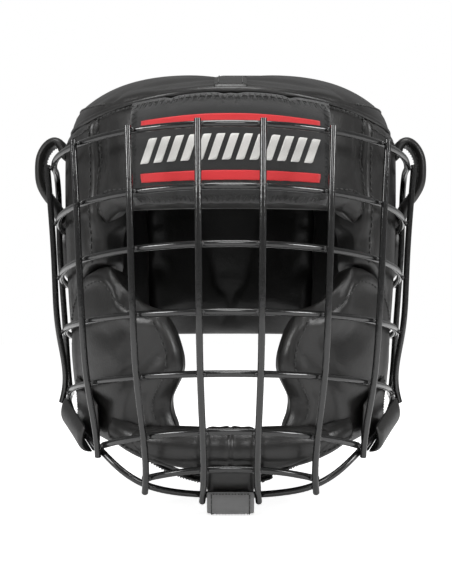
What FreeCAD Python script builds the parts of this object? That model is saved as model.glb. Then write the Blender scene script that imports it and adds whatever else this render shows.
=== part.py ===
import FreeCAD, Part
import math
import os
from FreeCAD import Vector

# Boxing headgear with a wire face cage, in millimetres.
# +X is the wearer's left, -Y is the way the face looks, +Z is up.
# The origin is the centre of the head cavity.

# Padding: plan sections are ellipses round PLAN_CENTRE_Y
PLAN_CENTRE_Y = 4.0
WIDEST_HALF_WIDTH = 108.0
WIDEST_HEIGHT = 70.0
SIDE_TAPER = 0.0004
LONGEST_HALF_DEPTH = 127.0
LONGEST_HEIGHT = 60.0
FRONT_TAPER = 0.0004
PAD_THICKNESS = 28.0
OUTER_EDGE_DROP = 8.0
INNER_EDGE_DROP = 4.0
SKIN = 1.6
LAYER_GAP = 0.6

# Angles round the head, in degrees from straight ahead
FOREHEAD_EDGE = 51.0
CHEEK_BACK_EDGE = 100.0
SIDE_BACK_EDGE = 136.5
SEAM_ANGLE = 0.6

# Heights of the band of pads
BROW_HEIGHT = 49.0
BROW_CORNER_DROP = 7.0
BROW_CORNER_START = 42.0
BAND_TOP_SIDE = 103.0
BAND_TOP_RISE = 16.0
EYE_LOWER_CORNER = 16.0
CHEEK_SEAM_BACK = -45.0
BACK_BOTTOM = -31.0

# Cheek pads
CHEEK_FRONT_EDGE = 17.0
CHEEK_FRONT_BOTTOM = -78.0
JAW_BOTTOM = -94.0
JAW_BACK_BOTTOM = -60.0

# Crown
CROWN_TOP = 143.5
CROWN_FALL = 31.0
CROWN_FULLNESS = 4.0
CROWN_HALF_WIDTH = 105.0
CROWN_HALF_DEPTH = 122.0
CROWN_RIM_THICKNESS = 7.0
CROWN_MID_THICKNESS = 18.0
CROWN_SPLIT = 1.5
BINDING_RADIUS = 2.0
BINDING_HALF_WIDTH = 103.6
BINDING_HALF_DEPTH = 121.4
BINDING_HEIGHT = 103.0

# Ear rings
EAR_CENTRE = Vector(110.5, 45, 32)
EAR_RING_RADIUS = 17.0
EAR_ROLL_RADIUS = 9.0
EAR_HOLE_RADIUS = 8.0

# Chin guard
CHIN_HALF_LENGTH = 46.0
CHIN_Y = -106.0
CHIN_Z = -92.5
CHIN_RADIUS = 12.5

# Cage wire
WIRE_RADIUS = 2.0
WELD_STEP = 2 * WIRE_RADIUS + 0.3
FOOT_STEP = WELD_STEP + 0.4
CAGE_CENTRE_Y = -10.0
UPRIGHT_ANGLES = [9.0, 29.9, 52.5, 85.0]
CAGE_BACK_ANGLE = 99.0
# each level: height and y at the front, half-width, fall per millimetre towards the back
CAGE_LEVELS = [
    (96.4, -146.5, 115.0, 0.127),
    (60.3, -153.0, 112.0, 0.122),
    (27.6, -156.0, 110.0, 0.138),
    (-11.0, -156.0, 107.5, 0.110),
    (-46.3, -152.0, 103.8, 0.145),
    (-80.0, -142.0, 97.0, 0.250),
    (-103.7, -123.0, 97.5, 0.450),
]
# where the four uprights of one side end on the bottom of the rim
RIM_BOTTOM = [
    Vector(17, -96, -122),
    Vector(50, -102, -116),
    Vector(78, -88, -97),
    Vector(105.0, -22, -70.5),
]

# Straps
STRAP_THICKNESS = 2.4
UPPER_STRAP_WIDTH = 26.0
UPPER_STRAP_Y = -5.0
LOWER_STRAP_WIDTH = 40.0
CHIN_LOOP_WIDTH = 28.4
CHIN_STRAP_WIDTH = 25.0
CHIN_STRAP_Y = -73.5
UPPER_STRAP_THICKNESS = 3.4

PATCH_THICKNESS = 1.2

# Spacing of the rings of control points along a rod, and control points round each ring
ROD_STEP = 8.0
RING_POLES = 10


def unit(vector):
    """The vector at length one."""
    return vector * (1.0 / vector.Length)


def smooth_step(value):
    """0 below 0, 1 above 1, and an S-curve between them."""
    clamped = min(1.0, max(0.0, value))
    return clamped * clamped * (3 - 2 * clamped)


# ---------------------------------------------------------------- surfaces


def knots(count, degree):
    """Knots and multiplicities of a clamped uniform spline."""
    spans = count - degree
    return [float(i) for i in range(spans + 1)], [degree + 1] + [1] * (spans - 1) + [degree + 1]


def spline_face(poles, degree_u, degree_v):
    """A spline face over a grid of poles."""
    knots_u, mults_u = knots(len(poles), degree_u)
    knots_v, mults_v = knots(len(poles[0]), degree_v)
    surface = Part.BSplineSurface()
    surface.buildFromPolesMultsKnots(
        poles, mults_u, mults_v, knots_u, knots_v, False, False, degree_u, degree_v)
    return surface.toShape()


def block(low, high, rows=11, columns=9):
    """A closed solid between two surfaces, each given over the unit square."""
    grids = []
    for surface in (low, high):
        grids.append([[surface(i / (rows - 1), j / (columns - 1)) for j in range(columns)]
                      for i in range(rows)])
    first, second = grids
    faces = [
        spline_face(first, 3, 3),
        spline_face(second, 3, 3),
        spline_face([first[0], second[0]], 1, 3),
        spline_face([first[-1], second[-1]], 1, 3),
        spline_face([[row[0] for row in first], [row[0] for row in second]], 1, 3),
        spline_face([[row[-1] for row in first], [row[-1] for row in second]], 1, 3),
    ]
    shell = Part.makeShell(faces)
    shell.sewShape()
    solid = Part.makeSolid(shell)
    if solid.Volume < 0:
        solid.reverse()
    return solid


def mirrored(shape):
    """The same piece on the other side of the head."""
    return shape.mirror(Vector(0, 0, 0), Vector(1, 0, 0))


# ---------------------------------------------------------------- padding


def helmet_point(angle, height, depth):
    """A point on the padding, depth millimetres in from its outer face."""
    half_width = WIDEST_HALF_WIDTH - SIDE_TAPER * (height - WIDEST_HEIGHT) ** 2 - depth
    half_depth = LONGEST_HALF_DEPTH - FRONT_TAPER * (height - LONGEST_HEIGHT) ** 2 - depth
    turn = math.radians(angle)
    return Vector(half_width * math.sin(turn), PLAN_CENTRE_Y - half_depth * math.cos(turn), height)


def edge_profile(s, t):
    """0 in the middle of a pad, 1 along its edges."""
    return 1 - (1 - abs(2 * s - 1) ** 4) * (1 - abs(2 * t - 1) ** 4)


def pad_place(region):
    """The place function of a pad whose region gives an angle and a height."""
    def place(s, t, depth):
        angle, height = region(s, t)
        return helmet_point(angle, height, OUTER_EDGE_DROP * edge_profile(s, t) + depth)
    return place


def pad_depth(s, t):
    """The thickness of a pad at a place, thinner along its edges."""
    return PAD_THICKNESS - (OUTER_EDGE_DROP + INNER_EDGE_DROP) * edge_profile(s, t)


def inset(value, margin):
    """The unit interval drawn in by a margin at both ends."""
    return margin + value * (1 - 2 * margin)


def layer(place, margin_s, margin_t, top, bottom):
    """A layer of a pad between two depths given as functions of the thickness."""
    def surface(depth):
        def point(s, t):
            inner_s = inset(s, margin_s)
            inner_t = inset(t, margin_t)
            return place(inner_s, inner_t, depth(pad_depth(inner_s, inner_t)))
        return point
    return block(surface(top), surface(bottom))


def pad_layers(region, length, height):
    """Cover, foam core and lining of a pad of about this length and height."""
    place = pad_place(region)
    skin_s, skin_t = SKIN / length, SKIN / height
    core_s, core_t = (SKIN + LAYER_GAP) / length, (SKIN + LAYER_GAP) / height
    body = layer(place, 0, 0, lambda full: 0, lambda full: full - SKIN - LAYER_GAP)
    hollow = layer(place, skin_s, skin_t, lambda full: SKIN, lambda full: full + SKIN)
    cover = body.cut(hollow)
    foam = layer(place, core_s, core_t,
                 lambda full: SKIN + LAYER_GAP, lambda full: full - SKIN - 2 * LAYER_GAP)
    lining = layer(place, 0, 0, lambda full: full - SKIN, lambda full: full)
    return {"cover": cover, "foam": foam, "lining": lining}


def band_top(angle):
    """Top edge of the band of pads, higher at the front and the back."""
    return BAND_TOP_SIDE + BAND_TOP_RISE * math.cos(math.radians(angle)) ** 2


def cheek_top(angle):
    """Lower edge of the eye opening, then the seam under the side pad."""
    eye_edge = -11.0 + 0.0355 * max(0.0, angle - 21.0) ** 2
    back = smooth_step((angle - FOREHEAD_EDGE) / (CHEEK_BACK_EDGE - FOREHEAD_EDGE))
    seam = EYE_LOWER_CORNER + (CHEEK_SEAM_BACK - EYE_LOWER_CORNER) * back
    return min(eye_edge, seam)


def cheek_bottom(angle):
    """Jaw line: level over the chin guard, down to the jaw, up towards the ear."""
    jaw = (JAW_BOTTOM - CHEEK_FRONT_BOTTOM) * smooth_step((angle - 32) / 12)
    rise = (JAW_BACK_BOTTOM - JAW_BOTTOM) * smooth_step((angle - 58) / 42)
    return CHEEK_FRONT_BOTTOM + jaw + rise


def brow(angle):
    """Lower edge of the forehead pad, rounded down at the corners of the eye opening."""
    return BROW_HEIGHT - BROW_CORNER_DROP * smooth_step(
        (abs(angle) - BROW_CORNER_START) / (FOREHEAD_EDGE - BROW_CORNER_START))


def forehead_region(s, t):
    angle = FOREHEAD_EDGE * (2 * s - 1)
    return angle, brow(angle) + t * (band_top(angle) - brow(angle))


def side_region(s, t):
    front = FOREHEAD_EDGE + SEAM_ANGLE
    angle = front + s * (SIDE_BACK_EDGE - front)
    bottom = cheek_top(angle) + 1.5
    return angle, bottom + t * (band_top(angle) - bottom)


def cheek_region(s, t):
    front = CHEEK_FRONT_EDGE + 4 * t * t - 3 * math.sin(math.pi * t)
    angle = front + s * (CHEEK_BACK_EDGE - front)
    return angle, cheek_bottom(angle) + t * (cheek_top(angle) - cheek_bottom(angle))


def back_region(s, t):
    front = SIDE_BACK_EDGE + SEAM_ANGLE
    angle = front + s * (360 - 2 * front)
    return angle, BACK_BOTTOM + t * (band_top(angle) - BACK_BOTTOM)


def crown_place(s, t, depth):
    """One half of the crown: s runs from the middle to the rim, t from front to back."""
    along = 2 * t - 1
    across = s * math.sqrt(1 - along * along / 2)
    along = along * math.sqrt(1 - s * s / 2)
    from_middle = min(1.0, math.hypot(across, along))
    fall = CROWN_FALL * from_middle ** CROWN_FULLNESS
    height = CROWN_TOP - fall + BAND_TOP_RISE * along ** 2 * from_middle
    x = CROWN_SPLIT + (CROWN_HALF_WIDTH - CROWN_SPLIT) * across
    return Vector(x, PLAN_CENTRE_Y + CROWN_HALF_DEPTH * along, height - depth)


def crown_depth(s, t):
    """Thickness of the crown, thin at the rim."""
    rim = max(s, abs(2 * t - 1)) ** 4
    return CROWN_MID_THICKNESS + (CROWN_RIM_THICKNESS - CROWN_MID_THICKNESS) * rim


def crown_layers():
    """Cover and foam core of the half of the crown on the +X side."""
    skin = 0.02
    core = 0.024

    def surface(margin, depth):
        def point(s, t):
            inner_s, inner_t = inset(s, margin), inset(t, margin)
            return crown_place(inner_s, inner_t, depth(crown_depth(inner_s, inner_t)))
        return point

    body = block(surface(0, lambda full: 0), surface(0, lambda full: full))
    hollow = block(surface(skin, lambda full: SKIN), surface(skin, lambda full: full - SKIN))
    foam = block(surface(core, lambda full: SKIN + LAYER_GAP),
                 surface(core, lambda full: full - SKIN - LAYER_GAP))
    return {"cover": body.cut(hollow), "foam": foam}


def ear_hole():
    """The sound hole through the side pad."""
    start = Vector(40, EAR_CENTRE.y, EAR_CENTRE.z)
    return Part.makeCylinder(EAR_HOLE_RADIUS, 100, start, Vector(1, 0, 0))


def ear_ring():
    """The padded roll round the ear hole, cut to sit on the side pad."""
    roll = Part.makeTorus(EAR_RING_RADIUS, EAR_ROLL_RADIUS, EAR_CENTRE, Vector(1, 0, 0))
    place = pad_place(side_region)
    seat = block(lambda s, t: place(s, t, -LAYER_GAP), lambda s, t: place(s, t, PAD_THICKNESS))
    return roll.cut(seat)


# ---------------------------------------------------------------- rods and straps


def spline_curve(points, closed=False):
    """A curve through the points."""
    curve = Part.BSplineCurve()
    curve.interpolate(points, PeriodicFlag=closed)
    return curve


def turned(vector, axis, angle):
    """A vector turned about an axis."""
    return (vector * math.cos(angle) + axis.cross(vector) * math.sin(angle)
            + axis * (axis.dot(vector) * (1 - math.cos(angle))))


def ring_frames(curve, count, closed):
    """Place, tangent and an untwisted side direction at even steps along a curve."""
    span = curve.LastParameter - curve.FirstParameter
    stations = []
    side = None
    for index in range(count + 1):
        parameter = curve.FirstParameter + span * index / count
        tangent = curve.tangent(parameter)[0]
        if side is None:
            side = Vector(0, 0, 1) if abs(tangent.z) < 0.8 else Vector(1, 0, 0)
        side = unit(side - tangent * side.dot(tangent))
        stations.append((curve.value(parameter), tangent, side))
    if closed:
        last, first = stations[-1][2], stations[0][2]
        twist = math.atan2(last.cross(first).dot(stations[0][1]), last.dot(first))
        turned_back = []
        for index, (place, tangent, direction) in enumerate(stations[:-1]):
            turned_back.append((place, tangent, turned(direction, tangent, twist * index / count)))
        stations = turned_back
    return stations


def rod(points, radius, closed=False):
    """A round rod along a curve through the points, as one smooth face and two flat ends."""
    curve = spline_curve(points, closed)
    count = max(6, int(curve.length() / ROD_STEP))
    # poles of a round cubic ring stand a little outside the circle they make
    pole_radius = radius * 3 / (2 + math.cos(2 * math.pi / RING_POLES))
    poles = []
    for place, tangent, side in ring_frames(curve, count, closed):
        other = tangent.cross(side)
        ring = []
        for step in range(RING_POLES):
            turn = 2 * math.pi * step / RING_POLES
            ring.append(place + (side * math.cos(turn) + other * math.sin(turn)) * pole_radius)
        poles.append(ring)
    if closed:
        knots_u, mults_u = [float(i) for i in range(len(poles) + 1)], [1] * (len(poles) + 1)
    else:
        knots_u, mults_u = knots(len(poles), 3)
    surface = Part.BSplineSurface()
    surface.buildFromPolesMultsKnots(
        poles, mults_u, [1] * (RING_POLES + 1), knots_u, [float(i) for i in range(RING_POLES + 1)],
        closed, True, 3, 3)
    side_face = surface.toShape()
    if closed:
        shell = Part.Shell([side_face])
    else:
        caps = []
        for end in surface.bounds()[:2]:
            caps.append(Part.Face(Part.Wire(surface.uIso(end).toShape())))
        shell = Part.makeShell([side_face] + caps)
        shell.sewShape()
    solid = Part.makeSolid(shell)
    if solid.Volume < 0:
        solid.reverse()
    return solid


def closed_rod(points, radius):
    """A closed rod, symmetric about X = 0, from the points of its +X half."""
    other = [Vector(-point.x, point.y, point.z) for point in reversed(points[1:-1])]
    return rod(points + other, radius, True)


def strap(path, across, width, thickness=STRAP_THICKNESS):
    """A flat strap along a path, as wide as width in the direction across."""
    curve = spline_curve(path)
    across = unit(across)
    count = 3 * len(path)
    sides = ([], [])
    for index in range(count + 1):
        share = index / count
        parameter = curve.FirstParameter + share * (curve.LastParameter - curve.FirstParameter)
        normal = unit(across.cross(curve.tangent(parameter)[0])) * (thickness / 2)
        sides[0].append(curve.value(parameter) + normal - across * (width / 2))
        sides[1].append(curve.value(parameter) - normal - across * (width / 2))
    outline = Part.Wire([
        spline_curve(sides[0]).toShape(),
        Part.makeLine(sides[0][-1], sides[1][-1]),
        spline_curve(sides[1]).toShape(),
        Part.makeLine(sides[1][0], sides[0][0]),
    ])
    solid = Part.Face(outline).extrude(across * width)
    if solid.Volume < 0:
        solid.reverse()
    return solid


# ---------------------------------------------------------------- cage


def cage_point(level, angle):
    """A point on a crossbar's centre line."""
    height, front, half_width, fall = CAGE_LEVELS[level]
    turn = math.radians(angle)
    y = CAGE_CENTRE_Y - (CAGE_CENTRE_Y - front) * math.cos(turn)
    return Vector(half_width * math.sin(turn), y, height - fall * (y - front))


def cage_outward(level, angle):
    """The direction straight out of the cage at a crossing."""
    above = cage_point(max(0, level - 1), angle)
    below = cage_point(min(len(CAGE_LEVELS) - 1, level + 1), angle)
    along = cage_point(level, angle + 1) - cage_point(level, angle - 1)
    return unit((above - below).cross(along) * -1)


def cage_rim():
    """The closed rim: top bar, rear corners and the jaw line."""
    top = [cage_point(0, angle) for angle in (0, 15, 30, 45, 60, 75, 88)]
    back = []
    for level in (1, 2, 3):
        back.append(cage_point(level, CAGE_BACK_ANGLE)
                    + cage_outward(level, CAGE_BACK_ANGLE) * WELD_STEP)
    upper_corner = [Vector(115.4, -1, 79), Vector(115.8, 9, 75.5), Vector(115.4, 13, 67)]
    lower_corner = [Vector(108.2, 12, -58), Vector(107, 8, -66.5), Vector(106.3, -2, -69.5)]
    bottom = [RIM_BOTTOM[3], Vector(95.5, -55, -84), RIM_BOTTOM[2], Vector(66, -98, -107),
              RIM_BOTTOM[1], Vector(34, -100, -120), RIM_BOTTOM[0], Vector(0, -94.5, -122.5)]
    return closed_rod(top + upper_corner + back + lower_corner + bottom, WIRE_RADIUS)


def cage_upright(index):
    """An upright of the +X side, welded on the outside of the crossbars."""
    angle = UPRIGHT_ANGLES[index]
    levels = range({0: 7, 1: 7, 2: 6, 3: 5}[index])
    points = []
    for level in levels:
        points.append(cage_point(level, angle) + cage_outward(level, angle) * WELD_STEP)
    foot = RIM_BOTTOM[index]
    outward = {0: Vector(0, -0.55, -0.83), 1: Vector(0.25, -0.55, -0.8),
               2: Vector(0.5, -0.6, -0.62), 3: Vector(0.96, -0.05, -0.27)}[index]
    points.append(foot + unit(outward) * FOOT_STEP)
    start = points[0] + unit(points[0] - points[1]) * WIRE_RADIUS
    return rod([start] + points, WIRE_RADIUS)


def cage_crossbar(level):
    """A crossbar inside the uprights."""
    reach = {1: CAGE_BACK_ANGLE, 2: CAGE_BACK_ANGLE, 3: CAGE_BACK_ANGLE,
             4: 87.5, 5: 52.5, 6: 32.0}[level]
    steps = 14
    points = [cage_point(level, reach * (2 * i / steps - 1)) for i in range(steps + 1)]
    return rod(points, WIRE_RADIUS)


# ---------------------------------------------------------------- straps of the cage


def upper_strap():
    """The part of the upper belt loop that is sewn to the side pad and holds the rim."""
    path = [(108.9, 88), (109.8, 95), (113.8, 98.6), (119.6, 96), (124, 88.4), (124.8, 79.6)]
    points = [Vector(x, UPPER_STRAP_Y, z) for x, z in path]
    return strap(points, Vector(0, 1, 0), UPPER_STRAP_WIDTH, UPPER_STRAP_THICKNESS)


def upper_flap():
    """The hook-and-loop half of the upper belt loop."""
    path = [(124.8, 78.4), (123.8, 70), (119.4, 62), (114.8, 56.5), (112.4, 48)]
    points = [Vector(x, UPPER_STRAP_Y, z) for x, z in path]
    return strap(points, Vector(0, 1, 0), UPPER_STRAP_WIDTH, UPPER_STRAP_THICKNESS)


def lower_frame():
    """Middle of the lower strap on the rim, its width, outward and upward directions."""
    middle = Vector(93.2, -54, -83.6)
    across = unit(RIM_BOTTOM[2] - RIM_BOTTOM[3])
    outward = Vector(0.88, -0.35, -0.2)
    outward = unit(outward - across * outward.dot(across))
    upward = unit(across.cross(outward))
    if upward.z < 0:
        upward = upward * -1
    return middle, across, outward, upward


def lower_leaf(path):
    """A leaf of the lower strap from a path of outward and upward distances."""
    middle, across, outward, upward = lower_frame()
    points = [middle + outward * out + upward * up for out, up in path]
    return strap(points, across, LOWER_STRAP_WIDTH)


def lower_strap():
    """The leaf of the lower strap between the cheek and the rim."""
    return lower_leaf([(-5.2, 24), (-4.8, 14), (-4.4, 5), (-4.0, -2), (-2.2, -6), (0.2, -7.4)])


def lower_flap():
    """The hook-and-loop leaf of the lower strap, outside the rim."""
    return lower_leaf([(0.8, -7.5), (4.4, -5.8), (6.6, -1), (5.6, 5), (3.6, 10)])


def side_points(path):
    """Points in the middle plane from pairs of y and z."""
    return [Vector(0, y, z) for y, z in path]


def chin_guard(outer, inner):
    """A tube or a core along the chin guard's gentle arc."""
    ends = []
    for radius in (outer, inner):
        if radius > 0:
            points = []
            for index in range(-3, 4):
                share = index / 3
                points.append(Vector(share * CHIN_HALF_LENGTH, CHIN_Y + 5 * share ** 2,
                                     CHIN_Z + 1.5 * share ** 2))
            ends.append(rod(points, radius))
    return ends[0] if len(ends) == 1 else ends[0].cut(ends[1])


def chin_tongue():
    """The padded tab that hangs from the chin guard in front of the rim."""
    path = side_points([(-116.4, -104.8), (-113.8, -109.2), (-108.4, -114.4), (-104.6, -118.6)])
    return strap(path, Vector(1, 0, 0), CHIN_LOOP_WIDTH, 4.4)


def chin_loop():
    """The leaf of the chin loop that runs down behind the rim."""
    path = side_points([(-98.6, -105.6), (-92.5, -112), (-90.4, -122), (-93.5, -130.5),
                        (-98.5, -133)])
    return strap(path, Vector(1, 0, 0), CHIN_LOOP_WIDTH)


def chin_flap():
    """The hook-and-loop leaf of the chin loop, in front of the rim."""
    path = side_points([(-99.2, -133), (-104.8, -129.6), (-108.6, -124), (-111, -118.6)])
    return strap(path, Vector(1, 0, 0), CHIN_LOOP_WIDTH)


def chin_strap(end, drop):
    """A leaf of the strap under the chin, from the -X jaw to x = end."""
    points = []
    for index in range(8):
        x = -66 + index / 7 * (end + 66)
        points.append(Vector(x, CHIN_STRAP_Y, -114 - drop + 17 * abs(x / 66) ** 2.2))
    return strap(points, Vector(0, 1, 0), CHIN_STRAP_WIDTH)


def crown_tab():
    """The hook-and-loop tab that joins the two halves of the crown."""
    points = []
    for index in range(6):
        x = -8 + index * 9
        fall = CROWN_FALL * abs(x / CROWN_HALF_WIDTH) ** CROWN_FULLNESS
        points.append(Vector(x, 14, CROWN_TOP + 1.9 - fall))
    return strap(points, Vector(0, 1, 0), 44)


def on_band(angle_low, angle_high, height_low, height_high, depth_low, depth_high):
    """A thin piece that follows the band of pads between two angles and two heights."""
    def surface(depth):
        def point(s, t):
            angle = angle_low + s * (angle_high - angle_low)
            return helmet_point(angle, height_low + t * (height_high - height_low), depth)
        return point
    return block(surface(depth_low), surface(depth_high))


def front_patch():
    """The woven patch sewn on the forehead pad."""
    place = pad_place(forehead_region)

    def surface(depth):
        def point(s, t):
            return place(inset(s, 0.17), 0.07 + 0.86 * t, depth)
        return point
    return block(surface(-LAYER_GAP), surface(-LAYER_GAP - PATCH_THICKNESS))


def top_binding():
    """The piping round the joint between the band and the crown."""
    points = []
    for index in range(13):
        turn = math.pi * index / 12
        points.append(Vector(BINDING_HALF_WIDTH * math.sin(turn),
                             PLAN_CENTRE_Y - BINDING_HALF_DEPTH * math.cos(turn),
                             BINDING_HEIGHT + BAND_TOP_RISE * math.cos(turn) ** 2))
    return closed_rod(points, BINDING_RADIUS)


# ---------------------------------------------------------------- all pieces


def build_nodes():
    """Every piece of the headgear, by node name."""
    nodes = {}
    for layer_name, shape in pad_layers(forehead_region, 190, 62).items():
        nodes["forehead_" + layer_name] = shape
    for layer_name, shape in pad_layers(back_region, 160, 135).items():
        nodes["back_" + layer_name] = shape
    hole = ear_hole()
    for layer_name, shape in pad_layers(side_region, 170, 115).items():
        nodes["side_left_" + layer_name] = shape.cut(hole)
    for layer_name, shape in pad_layers(cheek_region, 140, 75).items():
        nodes["cheek_left_" + layer_name] = shape
    for layer_name, shape in crown_layers().items():
        nodes["crown_left_" + layer_name] = shape
    nodes["ear_ring_left"] = ear_ring()
    nodes["upper_strap_left"] = upper_strap()
    nodes["upper_flap_left"] = upper_flap()
    nodes["lower_strap_left"] = lower_strap()
    nodes["lower_flap_left"] = lower_flap()
    for name in list(nodes):
        if "_left" in name:
            nodes[name.replace("_left", "_right")] = mirrored(nodes[name])
    nodes["top_binding"] = top_binding()
    nodes["crown_tab"] = crown_tab()
    nodes["front_patch"] = front_patch()
    nodes["chin_guard_cover"] = chin_guard(CHIN_RADIUS, CHIN_RADIUS - SKIN)
    nodes["chin_guard_foam"] = chin_guard(CHIN_RADIUS - SKIN - LAYER_GAP, 0)
    nodes["chin_tongue"] = chin_tongue()
    nodes["chin_loop"] = chin_loop()
    nodes["chin_flap"] = chin_flap()
    nodes["chin_strap_right"] = chin_strap(26, STRAP_THICKNESS + LAYER_GAP)
    nodes["chin_strap_left"] = mirrored(chin_strap(26, 0))
    nodes["rear_strap"] = on_band(129, 231, 18, 58, -5.2, -2.8)
    nodes["rear_loop_patch"] = on_band(160, 212, 22, 54, -1.4, -0.4)
    nodes["cage_rim"] = cage_rim()
    for index in range(4):
        nodes["cage_upright_left_%d" % (index + 1)] = cage_upright(index)
        nodes["cage_upright_right_%d" % (index + 1)] = mirrored(cage_upright(index))
    for level in range(1, 7):
        nodes["cage_crossbar_%d" % level] = cage_crossbar(level)
    return nodes


os.makedirs("parts", exist_ok=True)
for node_name, node_shape in build_nodes().items():
    node_shape.exportStep("parts/%s.step" % node_name)
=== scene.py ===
"""Looks of a boxing headgear with a wire face cage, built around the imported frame."""
import math

import bpy
import numpy as np
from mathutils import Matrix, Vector


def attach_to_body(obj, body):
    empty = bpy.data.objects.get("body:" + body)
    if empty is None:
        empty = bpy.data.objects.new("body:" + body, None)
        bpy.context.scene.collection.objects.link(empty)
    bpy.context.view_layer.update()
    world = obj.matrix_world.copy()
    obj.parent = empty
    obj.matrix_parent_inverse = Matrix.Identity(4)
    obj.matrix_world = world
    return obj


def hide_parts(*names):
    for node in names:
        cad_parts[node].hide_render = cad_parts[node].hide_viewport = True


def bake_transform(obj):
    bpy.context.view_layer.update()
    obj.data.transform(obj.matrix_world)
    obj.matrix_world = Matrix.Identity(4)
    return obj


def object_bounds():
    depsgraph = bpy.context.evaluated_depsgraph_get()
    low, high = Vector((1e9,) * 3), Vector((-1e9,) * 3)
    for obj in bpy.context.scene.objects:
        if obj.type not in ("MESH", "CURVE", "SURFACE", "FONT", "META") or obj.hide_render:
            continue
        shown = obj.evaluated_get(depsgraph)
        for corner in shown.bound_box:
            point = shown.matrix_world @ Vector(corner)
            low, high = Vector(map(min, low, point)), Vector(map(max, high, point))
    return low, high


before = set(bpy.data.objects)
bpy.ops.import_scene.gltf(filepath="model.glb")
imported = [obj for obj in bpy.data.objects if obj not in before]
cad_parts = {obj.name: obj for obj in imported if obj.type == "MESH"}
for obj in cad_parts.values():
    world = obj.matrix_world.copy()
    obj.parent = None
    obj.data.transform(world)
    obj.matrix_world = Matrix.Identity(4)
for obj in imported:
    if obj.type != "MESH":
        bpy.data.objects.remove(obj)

CAD_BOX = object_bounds()
MM = 0.001

# The same head-shaped plan as the frame's pads, in millimetres and degrees
PLAN_CENTRE_Y = 4.0
WIDEST_HALF_WIDTH = 108.0
WIDEST_HEIGHT = 70.0
SIDE_TAPER = 0.0004
LONGEST_HALF_DEPTH = 127.0
LONGEST_HEIGHT = 60.0
FRONT_TAPER = 0.0004
PAD_THICKNESS = 28.0
SIDE_SWELL = 5.0
FOREHEAD_EDGE = 51.0
CHEEK_BACK_EDGE = 100.0
SIDE_BACK_EDGE = 136.5
BROW_HEIGHT = 49.0
BROW_CORNER_DROP = 7.0
BROW_CORNER_START = 42.0
BAND_TOP_SIDE = 103.0
BAND_TOP_RISE = 16.0
EYE_LOWER_CORNER = 16.0
CHEEK_SEAM_BACK = -45.0
BACK_BOTTOM = -31.0
# inner edge of the cheek pad: share of its height, angle, and 0 to fill a third column
CHEEK_FRONT_EDGE = [(0.0, 20.0, 0), (0.22, 23.0, 0), (0.52, 17.4, 0), (0.76, 19.4, 0), (1.0, 24.5, 0)]
CHEEK_FRONT_BOTTOM = -84.0
JAW_BOTTOM = -94.0
JAW_BACK_BOTTOM = -60.0
CROWN_TOP = 140.0
CROWN_FALL = 31.0
# the dome is full at its sides and slopes gently to its front and back
CROWN_SIDE_FULLNESS = 4.0
CROWN_END_FULLNESS = 1.6
CROWN_END_RISE = 12.5
CROWN_HALF_WIDTH = 105.0
CROWN_HALF_DEPTH = 122.0
BINDING_RADIUS = 2.2
BINDING_HALF_WIDTH = 103.6
BINDING_HALF_DEPTH = 121.4
BINDING_HEIGHT = 103.0
CROWN_SPLIT = 0.4
EAR_CENTRE = (110.5, 45.0, 32.0)
GRID_STEP = 4.0


# ---------------------------- small maths


def smooth_step(value):
    """0 below 0, 1 above 1, and an S-curve between them."""
    clamped = np.clip(value, 0.0, 1.0)
    return clamped * clamped * (3 - 2 * clamped)


def unit(vectors):
    """Vectors at length one, for one vector or a row of them."""
    vectors = np.asarray(vectors, float)
    return vectors / np.maximum(np.linalg.norm(vectors, axis=-1, keepdims=True), 1e-9)


def spline(points, count, closed=False):
    """Evenly spaced points on a Catmull-Rom curve through the points."""
    points = np.asarray(points, float)
    if closed:
        padded = np.vstack([points[-1:], points, points[:2]])
    else:
        padded = np.vstack([2 * points[0] - points[1], points, 2 * points[-1] - points[-2]])
    pieces = []
    for index in range(len(padded) - 3):
        a, b, c, d = padded[index:index + 4]
        t = np.linspace(0, 1, 24, endpoint=False)[:, None]
        pieces.append(0.5 * (2 * b + (c - a) * t + (2 * a - 5 * b + 4 * c - d) * t ** 2
                             + (3 * b - a - 3 * c + d) * t ** 3))
    dense = np.vstack(pieces + [padded[-2][None]])
    lengths = np.concatenate([[0], np.cumsum(np.linalg.norm(np.diff(dense, axis=0), axis=1))])
    wanted = np.linspace(0, lengths[-1], count + 1 if closed else count)
    if closed:
        wanted = wanted[:-1]
    return sample(dense, lengths, wanted)


def sample(points, places, wanted):
    """Points at the wanted places along rows of points."""
    return np.stack([np.interp(wanted, places, points[:, axis]) for axis in range(3)], axis=-1)


def path_length(points):
    """Length of a polyline."""
    return float(np.linalg.norm(np.diff(np.asarray(points, float), axis=0), axis=1).sum())


# ---------------------------- meshes


def make_object(name, points, faces, material=None, smooth=True):
    """A mesh object from points in millimetres."""
    mesh = bpy.data.meshes.new(name)
    mesh.from_pydata([tuple(p) for p in np.asarray(points, float) * MM], [], faces)
    mesh.validate()
    mesh.update()
    if smooth:
        mesh.shade_smooth()
    obj = bpy.data.objects.new(name, mesh)
    bpy.context.scene.collection.objects.link(obj)
    if material is not None:
        mesh.materials.append(material)
    return obj


def coordinates(obj):
    """Vertex positions in millimetres."""
    out = np.zeros(len(obj.data.vertices) * 3, np.float32)
    obj.data.vertices.foreach_get("co", out)
    return out.reshape(-1, 3).astype(float) / MM


def set_coordinates(obj, points):
    """Moves the vertices of a mesh to points in millimetres."""
    obj.data.vertices.foreach_set("co", (np.asarray(points) * MM).astype(np.float32).ravel())
    obj.data.update()


def join(name, objects):
    """One object from several."""
    with bpy.context.temp_override(active_object=objects[0], selected_editable_objects=objects,
                                   selected_objects=objects, object=objects[0]):
        bpy.ops.object.join()
    objects[0].name = name
    objects[0].data.name = name
    return objects[0]


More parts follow.
